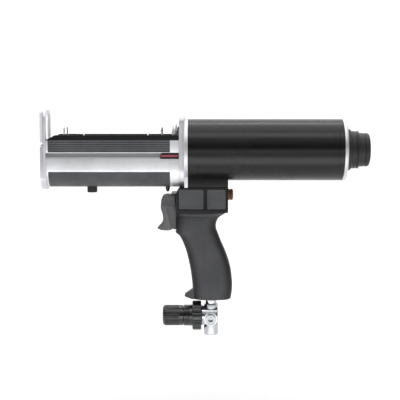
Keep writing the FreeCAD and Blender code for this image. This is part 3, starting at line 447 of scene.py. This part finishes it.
# ---------------------------------------------------------------- frame section
def front_end():
    softened("front_plate", 0.6, segments=3)
    softened("front_hoop", 0.7, segments=3)
    softened("neck_lock_lever", 0.7, segments=3)
    at = middle("lever_screw") / MM
    front = low("lever_screw").x / MM
    softened("lever_screw", 0.25, [hexagon("x", (at.y, at.z), 1.8, front - 1, front + 1.6)])


def ribbed_strips():
    """Dark strips with fine ribs along the gun, one on each side of the trough, up to its top edge."""
    lowest, highest = mm(low("upper_side_strips")), mm(high("upper_side_strips"))
    # painted shade: the dark film is carried up over the trough's silver top edge, where shade falls under
    # the rails
    highest[2] = high("carrier_trough").z / MM
    thick, deep, slope, margin = 0.5, 0.38, 0.2, 1.2
    ribs, gap = 5, 1.35
    inner, face, floor = highest[1] - thick, highest[1], highest[1] - deep
    pitch = (highest[2] - lowest[2] - margin) / ribs
    outline = [(inner, lowest[2]), (face, lowest[2])]
    for n in range(ribs):
        at = lowest[2] + margin + n * pitch
        outline += [(face, at), (floor, at + slope), (floor, at + gap - slope), (face, at + gap)]
    outline += [(face, highest[2]), (inner, highest[2])]
    shapes = [prism([(side * y, z) for y, z in outline], "x", lowest[0], highest[0]) for side in (1, -1)]
    piece = remade("upper_side_strips", shapes, material=RIDGE_FILM)
    # the sunk rib floors facing outward take the painted shade
    piece.data.materials.append(RIB_FLOOR_SHADE)
    for part in piece.data.polygons:
        sunk = all(abs(piece.data.vertices[n].co.y) < (face - deep / 2) * MM for n in part.vertices)
        part.material_index = 1 if sunk and abs(part.normal.y) > 0.5 else 0


def trough_skin():
    """The dark curved skin under the trough, its long edges rolled in a little."""
    lowest, highest = mm(low("lower_trough_skin")), mm(high("lower_trough_skin"))
    thick, steps = 0.48, 96
    outer = highest[1]
    axis = lowest[2] + outer
    start = math.asin((axis - highest[2]) / outer)
    turns = [start + (math.pi - 2 * start) * n / steps for n in range(steps + 1)]
    outline = []
    for radius, course in ((outer, turns), (outer - thick, reversed(turns))):
        outline += [(radius * math.cos(turn), axis - radius * math.sin(turn)) for turn in course]
    remade("lower_trough_skin", [prism(outline, "x", lowest[0], highest[0])], 0.15, smooth_to=35)


def trough():
    """The aluminium trough, with painted shade on the floor of the marker's groove."""
    piece = softened("carrier_trough", 0.28)
    slack, skin = 0.5 * MM, 0.4 * MM
    side = high("carrier_trough").y - skin
    foot, crown = low("marker_slide").z - slack, high("marker_slide").z + slack
    piece.data.materials.append(groove_painted_shade(foot, crown))
    # faces on the groove floor take the painted shade
    for part in piece.data.polygons:
        if foot < part.center.z < crown and 0.8 * side < abs(part.center.y) < side:
            part.material_index = 1


def carrier():
    trough()
    softened("rear_collar", 0.45)
    ribbed_strips()
    trough_skin()
    softened("cradle_rail_left", 0.5, segments=3)
    softened("cradle_rail_right", 0.5, segments=3)
    softened("barrel_clips", 0.25)
    softened("bumper_foot", 0.3)
    softened("carrier_lock_screw", 0.3)


# ---------------------------------------------------------------- cylinder
TUBE_WALL = 2.5
TURNED_LINES = ((13.5, 0.18), (7.0, 0.30))  # distance from the tube's rear end, depth
REAR_COVER = [  # distance behind the rear ring, radius
    (0, 17.0), (0, 29.7), (5.6, 29.7), (7, 28.4), (7, 26.9), (12.6, 26.9), (13.2, 26.2), (13.2, 25.3),
    (15.2, 25.3), (15.2, 26.9), (17.4, 26.9), (18.2, 26.0), (18.2, 24.1), (25.4, 24.1), (25.8, 23.1),
    (27.0, 23.1), (27.4, 24.1), (31.1, 23.8), (32.9, 22.5), (33.7, 20.3), (33.7, 13.0), (32.9, 12.2),
    (32.9, 0), (27, 0), (27, 17.0),
]


def frame_bolts():
    """Four bolts in the rear plate's corners, with hexagon sockets."""
    head, socket, deep = 4.3, 2.3, 1.5
    spot, reach = middle("frame_bolts") / MM, (high("frame_bolts") - low("frame_bolts")) / MM
    front = low("frame_bolts").x / MM
    sockets = []
    for y in (-1, 1):
        for z in (-1, 1):
            at = (spot.y + y * (reach.y / 2 - head), spot.z + z * (reach.z / 2 - head))
            sockets.append(hexagon("x", at, socket, front - 1, front + deep))
    softened("frame_bolts", 0.3, sockets)


def tube(axis, start, end, wide):
    """The black tube, with fine turned lines near its rear end."""
    foot, floor = 0.6, 0.35
    profile = [(start, wide - TUBE_WALL), (start, wide)]
    for back, sunk in TURNED_LINES:
        at = end - back
        profile += [(at - foot, wide), (at - floor, wide - sunk),
                    (at + floor, wide - sunk), (at + foot, wide)]
    profile += [(end, wide), (end, wide - TUBE_WALL)]
    remade("cylinder_tube", [spun(eased(profile, 0.5), "x", axis, 192)])


def rear_end(axis, end, wide):
    """The silver ring with its spigot inside the tube, and the stepped black cover behind it."""
    ring_end = high("cylinder_rear_cap").x / MM
    edge, bore, spigot, spigot_start = wide + 0.5, 12.0, wide - 2.7, end - 13.5
    profile = [(spigot_start, bore), (spigot_start, spigot), (end, spigot), (end, edge),
               (ring_end - 2.4, edge), (ring_end - 0.8, edge - 0.8), (ring_end, edge - 2.8), (ring_end, bore)]
    remade("cylinder_rear_cap", [spun(eased(profile, 0.7), "x", axis, 192)])
    profile = [(ring_end + station, radius) for station, radius in REAR_COVER]
    remade("rear_cover", [spun(eased(profile, 0.5), "x", axis, 144)], material=SATIN_BLACK)


def cylinder():
    softened("rear_plate", 0.9, segments=3)
    softened("cylinder_front_cap", 0.6, segments=3)
    frame_bolts()
    centre = middle("cylinder_tube") / MM
    start, end = low("cylinder_tube").x / MM, high("cylinder_tube").x / MM
    wide = (high("cylinder_tube").z - low("cylinder_tube").z) / MM / 2
    tube((centre.y, centre.z), start, end, wide)
    rear_end((centre.y, centre.z), end, wide)


# ---------------------------------------------------------------- ram
def ram():
    """The rods, two plungers with a ring turned into their faces, and the screws that hold them."""
    head_hole, head_deep, screw_hole = 4.7, 2.8, 2.5
    rod_hole, rod_deep = 6.02, 0.9
    screw_front = low("plunger_screws").x / MM
    softened("ram_rods", 0.6, segments=3)
    sockets = []
    for node in ("upper_plunger", "lower_plunger"):
        front, back = low(node).x / MM, high(node).x / MM
        spot, wide = middle(node) / MM, (high(node).z - low(node).z) / MM / 2
        profile = [(front, head_hole), (front, wide - 4.2), (front + 0.5, wide - 3.8),
                   (front + 0.5, wide - 2.8), (front, wide - 2.4), (front, wide - 1.5), (front + 1.5, wide),
                   (back - 1.5, wide), (back, wide - 1.5), (back, rod_hole), (back - rod_deep, rod_hole),
                   (back - rod_deep, screw_hole), (front + head_deep, screw_hole),
                   (front + head_deep, head_hole)]
        remade(node, [spun(eased(profile, 0.5), "x", (spot.y, spot.z), 96)])
        sockets.append(hexagon("x", (spot.y, spot.z), 2.2, screw_front - 1, screw_front + 1.8))
    softened("plunger_screws", 0.25, sockets)


# ---------------------------------------------------------------- housing and trigger
def panel(lowest, highest, outward):
    """A thin plate with rounded corners, a bevelled rim and a shallow field let into its face."""
    inset, rim, sunk = 2.2, 0.35, 0.22
    inner, face = (lowest[1], highest[1]) if outward > 0 else (highest[1], lowest[1])
    rings = []
    for shrink, y in ((0.0, inner), (0.0, face - outward * rim), (rim, face), (inset, face),
                      (inset + 0.25, face - outward * sunk)):
        corners = [(lowest[0] + shrink, lowest[2] + shrink), (highest[0] - shrink, lowest[2] + shrink),
                   (highest[0] - shrink, highest[2] - shrink), (lowest[0] + shrink, highest[2] - shrink)]
        corner_round = max(0.8, 2.6 - shrink)
        rings.append([(x, y, z) for x, z in eased(corners, corner_round, 6)])
    count = len(rings[0])
    verts = [vert for ring in rings for vert in ring]
    faces = [tuple(range(count)), tuple(range((len(rings) - 1) * count, len(rings) * count))]
    for n in range(len(rings) - 1):
        faces += [(n * count + k, n * count + (k + 1) % count, (n + 1) * count + (k + 1) % count,
                   (n + 1) * count + k) for k in range(count)]
    return verts, faces


def silencer():
    """A threaded stem and a porous bronze head with a turned groove."""
    start, end = mm(low("exhaust_silencer"))[0], mm(high("exhaust_silencer"))[0]
    spot = middle("exhaust_silencer") / MM
    wide = (high("exhaust_silencer").z - low("exhaust_silencer").z) / MM / 2
    stem, head = 4.9, start + 10
    profile = [(start, 0), (start, stem), (head, stem), (head, wide), (head + 2.2, wide),
               (head + 2.6, wide - 0.9), (head + 3.4, wide - 0.9), (head + 3.8, wide),
               (end - 1.6, wide), (end, wide - 2.0), (end, 3.0), (end - 0.8, 2.2), (end - 0.8, 0)]
    remade("exhaust_silencer", [spun(eased(profile, 0.35), "x", (spot.y, spot.z), 96)])


def housing():
    front_panel, rear_panel = 35.1, 26.3
    softened("valve_housing", 0.8, segments=3)
    softened("saddle_plate", 0.5)
    for hand, outward in (("left", -1), ("right", 1)):
        node = f"housing_panels_{hand}"
        lowest, highest = mm(low(node)), mm(high(node))
        parts = [(lowest[0], lowest[0] + front_panel), (highest[0] - rear_panel, highest[0])]
        remade(node, [panel((x0, lowest[1], lowest[2]), (x1, highest[1], highest[2]), outward)
                      for x0, x1 in parts], smooth_to=30)
    silencer()


def trigger():
    """The trigger with three fine grip lines round its upper finger rest."""
    side = high("trigger").y / MM
    front, rear, half_tall, deep, clear = -66.2, -46.8, 0.6, 0.9, 2
    lines = []
    for up in (83.8, 80.6, 77.4):
        tall = (up - half_tall, up + half_tall)
        lines += [brick((-75, rear), (side - deep, side + clear), tall),
                  brick((-75, rear), (-side - clear, deep - side), tall),
                  brick((front - 4, front + 0.8), (-side - clear, side + clear), tall)]
    softened("trigger", 0.35, lines)


# ---------------------------------------------------------------- grip
GRIP = [  # height, front, back, half width
    (67.0, -45.2, 30.0, 20.4), (65.0, -45.4, 27.0, 20.3), (62.8, -45.4, 23.4, 16.3),
    (58.0, -45.4, 16.6, 16.8), (50.0, -45.4, 13.2, 17.7), (42.0, -45.4, 13.4, 17.7),
    (37.0, -45.0, 15.4, 17.2), (32.0, -39.6, 17.4, 17.0), (24.0, -35.2, 20.4, 16.8),
    (9.0, -29.6, 27.0, 17.0), (-12.0, -24.7, 33.6, 17.6), (-33.0, -21.6, 36.4, 18.4),
    (-46.0, -20.8, 36.4, 18.8), (-60.0, -20.4, 34.6, 18.6),
]
SQUARENESS = 2.8  # 2 is an ellipse
GRIP_SCREWS = [(20.0, -38.0), (-12.0, -4.0), (-10.0, 28.0)]  # place along the gun, height
SPUR = [  # place along the gun, height
    (-15.5, -41.0), (-18.6, -44.3), (-21.5, -46.6), (-27.0, -50.4), (-32.0, -53.9), (-32.4, -55.2),
    (-31.0, -56.4), (-22.0, -59.8), (-14.0, -59.8), (-14.6, -50.0),
]


def between_levels(up):
    """Front, back and half width at a height, on a smooth curve through the levels."""
    n = next((n for n in range(len(GRIP) - 1) if GRIP[n][0] >= up >= GRIP[n + 1][0]), len(GRIP) - 2)
    span = GRIP[n + 1][0] - GRIP[n][0]
    t = (up - GRIP[n][0]) / span

    def slope(at, k):
        before, after = max(0, at - 1), min(len(GRIP) - 1, at + 1)
        return (GRIP[after][k] - GRIP[before][k]) / (GRIP[after][0] - GRIP[before][0])

    return [GRIP[n][k] * (2 * t ** 3 - 3 * t ** 2 + 1) + slope(n, k) * span * (t ** 3 - 2 * t ** 2 + t)
            + GRIP[n + 1][k] * (3 * t ** 2 - 2 * t ** 3) + slope(n + 1, k) * span * (t ** 3 - t ** 2)
            for k in (1, 2, 3)]


def half_grip(side):
    """One grip half: a smooth skin, drawn in a little along the parting line and at both ends."""
    top, bottom, rows, arc = GRIP[0][0], GRIP[-1][0], 96, 40
    top_round, bottom_round, parting_line = 1.4, 2.4, 0.35
    levels = [(top, 1.2), (top - 0.25, 0.6), (top - 0.7, 0.2), (top - top_round, 0.0)]
    levels += [(top - top_round + (bottom + bottom_round - top + top_round) * n / rows, 0.0)
               for n in range(1, rows + 1)]
    levels += [(bottom + 1.3, 0.25), (bottom + 0.5, 0.9), (bottom, 2.1)]
    verts = []
    for up, inset in levels:
        front, back, half = between_levels(up)
        centre, reach = (front + back) / 2, (back - front) / 2 - inset
        across = half - inset
        for n in range(arc + 1):
            turn = math.pi * n / arc
            c, s = math.cos(turn), math.sin(turn)
            squared = (abs(c) ** SQUARENESS + abs(s) ** SQUARENESS) ** (-1 / SQUARENESS)
            parting = parting_line if n in (0, arc) else 0.0
            along, aside = (reach - parting) * c * squared, max(0.04, across * s * squared)
            verts.append((centre + along, side * aside, up))
    row = arc + 1
    faces = [tuple(range(row)), tuple(range(len(verts) - 1, len(verts) - row - 1, -1))]
    for n in range(len(levels) - 1):
        here, below = n * row, (n + 1) * row
        faces += [(here + k, here + k + 1, below + k + 1, below + k) for k in range(arc)]
        faces.append((here + arc, here, below, below + arc))
    return verts, faces


def grip():
    """Two shells round the trigger's slot and the air riser, a finger spur and socket screws."""
    riser_round, well_round, well_floor = 8.05, 4.0, 13.4
    slot = brick((-60, -26), (-7.5, 7.5), (38.5, 80))
    riser = spun([(-75, 0), (-75, riser_round), (-46, riser_round), (-46, 0)], "z",
                 (middle("inlet_adapter").x / MM, 0), 64)
    wells = [spun([(well_floor, 0), (well_floor, well_round), (30, well_round), (30, 0)], "y", spot, 48)
             for spot in GRIP_SCREWS]
    for hand, side in (("left", -1), ("right", 1)):
        remade(f"grip_shell_{hand}", [half_grip(side)], cutters=[slot, riser] + (wells if side > 0 else []),
               smooth_to=38)
    finished("grip_spur", mesh_of("grip_spur", [prism(SPUR, "y", -9.9, 9.9)]), ["grip_shell_left"], 1.4,
             segments=4, bevel_from=40)
    face = high("grip_screws").y / MM
    softened("grip_screws", 0.3, [hexagon("y", spot, 2.2, face - 1.3, face + 1) for spot in GRIP_SCREWS])


# ---------------------------------------------------------------- regulator
def bonnet():
    """The regulator's bonnet: a ribbed neck and a flange, hollow for the adjusting spring."""
    start, end = mm(low("regulator_bonnet"))[0], mm(high("regulator_bonnet"))[0]
    spot = middle("regulator_bonnet") / MM
    neck, sunk, flange, stem = 15.5, 14.9, 17.4, 3.05
    profile = [(start, stem), (start, 13.5), (start + 1, 15.2)]
    for n in range(3):
        at = start + 2.6 + 2.4 * n
        profile += [(at, neck), (at + 0.3, sunk), (at + 0.9, sunk), (at + 1.2, neck)]
    profile += [(start + 14.8, neck), (start + 14.8, flange), (end, flange), (end, 13.2), (start + 3, 12),
                (start + 3, stem)]
    remade("regulator_bonnet", [spun(eased(profile, 0.3), "x", (spot.y, spot.z), 96)], material=GLOSSY_BLACK)


def regulator():
    softened("regulator_body", 0.7, segments=3)
    softened("gauge_port_plugs", 0.3, material=PLUG_PLATING)
    softened("inlet_adapter", 0.3)
    softened("bonnet_ring_nut", 0.5, segments=3, material=GLOSSY_BLACK)
    softened("regulator_knob", 0.3, material=GLOSSY_BLACK)
    bonnet()


def marker():
    """The marker and its red flag, both cut back at a slant at the front."""
    lowest, highest = mm(low("marker_slide")), mm(high("marker_slide"))
    nose, foot, crown = lowest[0], lowest[2] + 3.4, highest[2] + 2
    outline = [(nose - 3, foot), (nose - 0.6, foot), (nose + 5.4, crown), (nose - 3, crown)]
    slant = prism(outline, "y", -40, -20)
    softened("marker_slide", 0.18, [slant])
    softened("marker_flag", 0.12, [slant])


# ---------------------------------------------------------------- floor, light and camera
def studio():
    """A pale sweep: floor, curved corner and wall."""
    front, depth, reach, tall, bend, steps = -3.2, 2.2, 4.0, 4.0, 1.2, 12
    floor_up = low("regulator_body").z - 0.16
    outline = [(front, floor_up), (depth - bend, floor_up)]
    for step in range(1, steps + 1):
        turn = math.radians(90 * step / steps)
        outline.append((depth - bend + bend * math.sin(turn), floor_up + bend * (1 - math.cos(turn))))
    outline.append((depth, floor_up + tall))
    verts = [(x, y, z) for y, z in outline for x in (-reach, reach)]
    faces = [(2 * n, 2 * n + 1, 2 * n + 3, 2 * n + 2) for n in range(len(outline) - 1)]
    mesh = bpy.data.meshes.new("studio_sweep")
    mesh.from_pydata(verts, [], faces)
    sweep = bpy.data.objects.new("studio_sweep", mesh)
    bpy.context.scene.collection.objects.link(sweep)
    for face in mesh.polygons:
        face.use_smooth = True
    material, tree, shader = principled("pale_paper", (0.93, 0.93, 0.93), 0.8, specular=0.1)
    tone = grain(tree, 3, (1, 1, 1), 2)
    tree.links.new(blend_colour(tree, tone, (0.925, 0.925, 0.925), (0.935, 0.935, 0.935)),
                   shader.inputs["Base Color"])
    mesh.materials.append(material)


def softbox(name, place, aim, width, tall, power):
    """A rectangular lamp at a place, turned to face its aim."""
    data = bpy.data.lights.new(name, "AREA")
    data.shape = "RECTANGLE"
    data.size = width
    data.size_y = tall
    data.energy = power
    lamp = bpy.data.objects.new(name, data)
    bpy.context.scene.collection.objects.link(lamp)
    lamp.visible_camera = False
    lamp.location = place
    lamp.rotation_euler = (Vector(aim) - Vector(place)).to_track_quat("-Z", "Y").to_euler()


def lamps():
    """Broad soft sources overhead and in front, a low strip for the undersides, and a wash on the wall."""
    softbox("top_box", (0.0, 0.25, 1.5), (0, 0.0, 0.12), 2.8, 1.3, 9.5)
    softbox("front_box", (0.0, -0.85, 1.6), (0, 0, 0.1), 2.2, 0.5, 6)
    softbox("low_strip", (0.0, -0.38, low("regulator_body").z - 0.14), (0, 0, 0.12), 1.6, 0.42, 2.8)
    softbox("wall_wash", (0, 0.9, 1.8), (0, 2.2, 0.4), 3.5, 1.0, 30)


def surroundings():
    """Air for the metal to reflect: light below the horizon, dark just above it and light overhead."""
    world = bpy.data.worlds.new("studio_air")
    bpy.context.scene.world = world
    world.use_nodes = True
    tree = world.node_tree
    place = add(tree, "ShaderNodeTexCoord")
    parts = add(tree, "ShaderNodeSeparateXYZ")
    tree.links.new(place.outputs["Generated"], parts.inputs["Vector"])
    ramp = add(tree, "ShaderNodeValToRGB")
    stops = ((0.0, 2.0), (0.503, 2.0), (0.535, 0.05), (0.64, 0.06), (0.82, 0.9), (1.0, 1.1))
    for n, (at, tone) in enumerate(stops):
        stop = ramp.color_ramp.elements[n] if n < 2 else ramp.color_ramp.elements.new(at)
        stop.position = at
        stop.color = (tone, tone, tone, 1)
    height = spread(tree, parts.outputs["Z"], 0.0, 1.0, -1.0, 1.0)
    tree.links.new(height, ramp.inputs["Fac"])
    tree.links.new(ramp.outputs["Color"], tree.nodes["Background"].inputs["Color"])
    tree.nodes["Background"].inputs["Strength"].default_value = 0.62


def light():
    lamps()
    surroundings()


def camera():
    """A little above the ram and looking slightly down, far enough away to flatten the perspective."""
    data = bpy.data.cameras.new("camera")
    data.sensor_width = 36.0
    data.lens = 94.1
    data.clip_end = 30
    eye = bpy.data.objects.new("camera", data)
    bpy.context.scene.collection.objects.link(eye)
    place = Vector((-0.010, -1.500, 0.2328))
    aim = Vector((-0.010, 0.0, 0.0835))
    eye.location = place
    eye.rotation_euler = (aim - place).to_track_quat("-Z", "Y").to_euler()
    bpy.context.scene.camera = eye


front_end()
carrier()
cylinder()
ram()
housing()
trigger()
grip()
regulator()
marker()
studio()
light()
camera()
bpy.context.scene.view_settings.view_transform = "Standard"
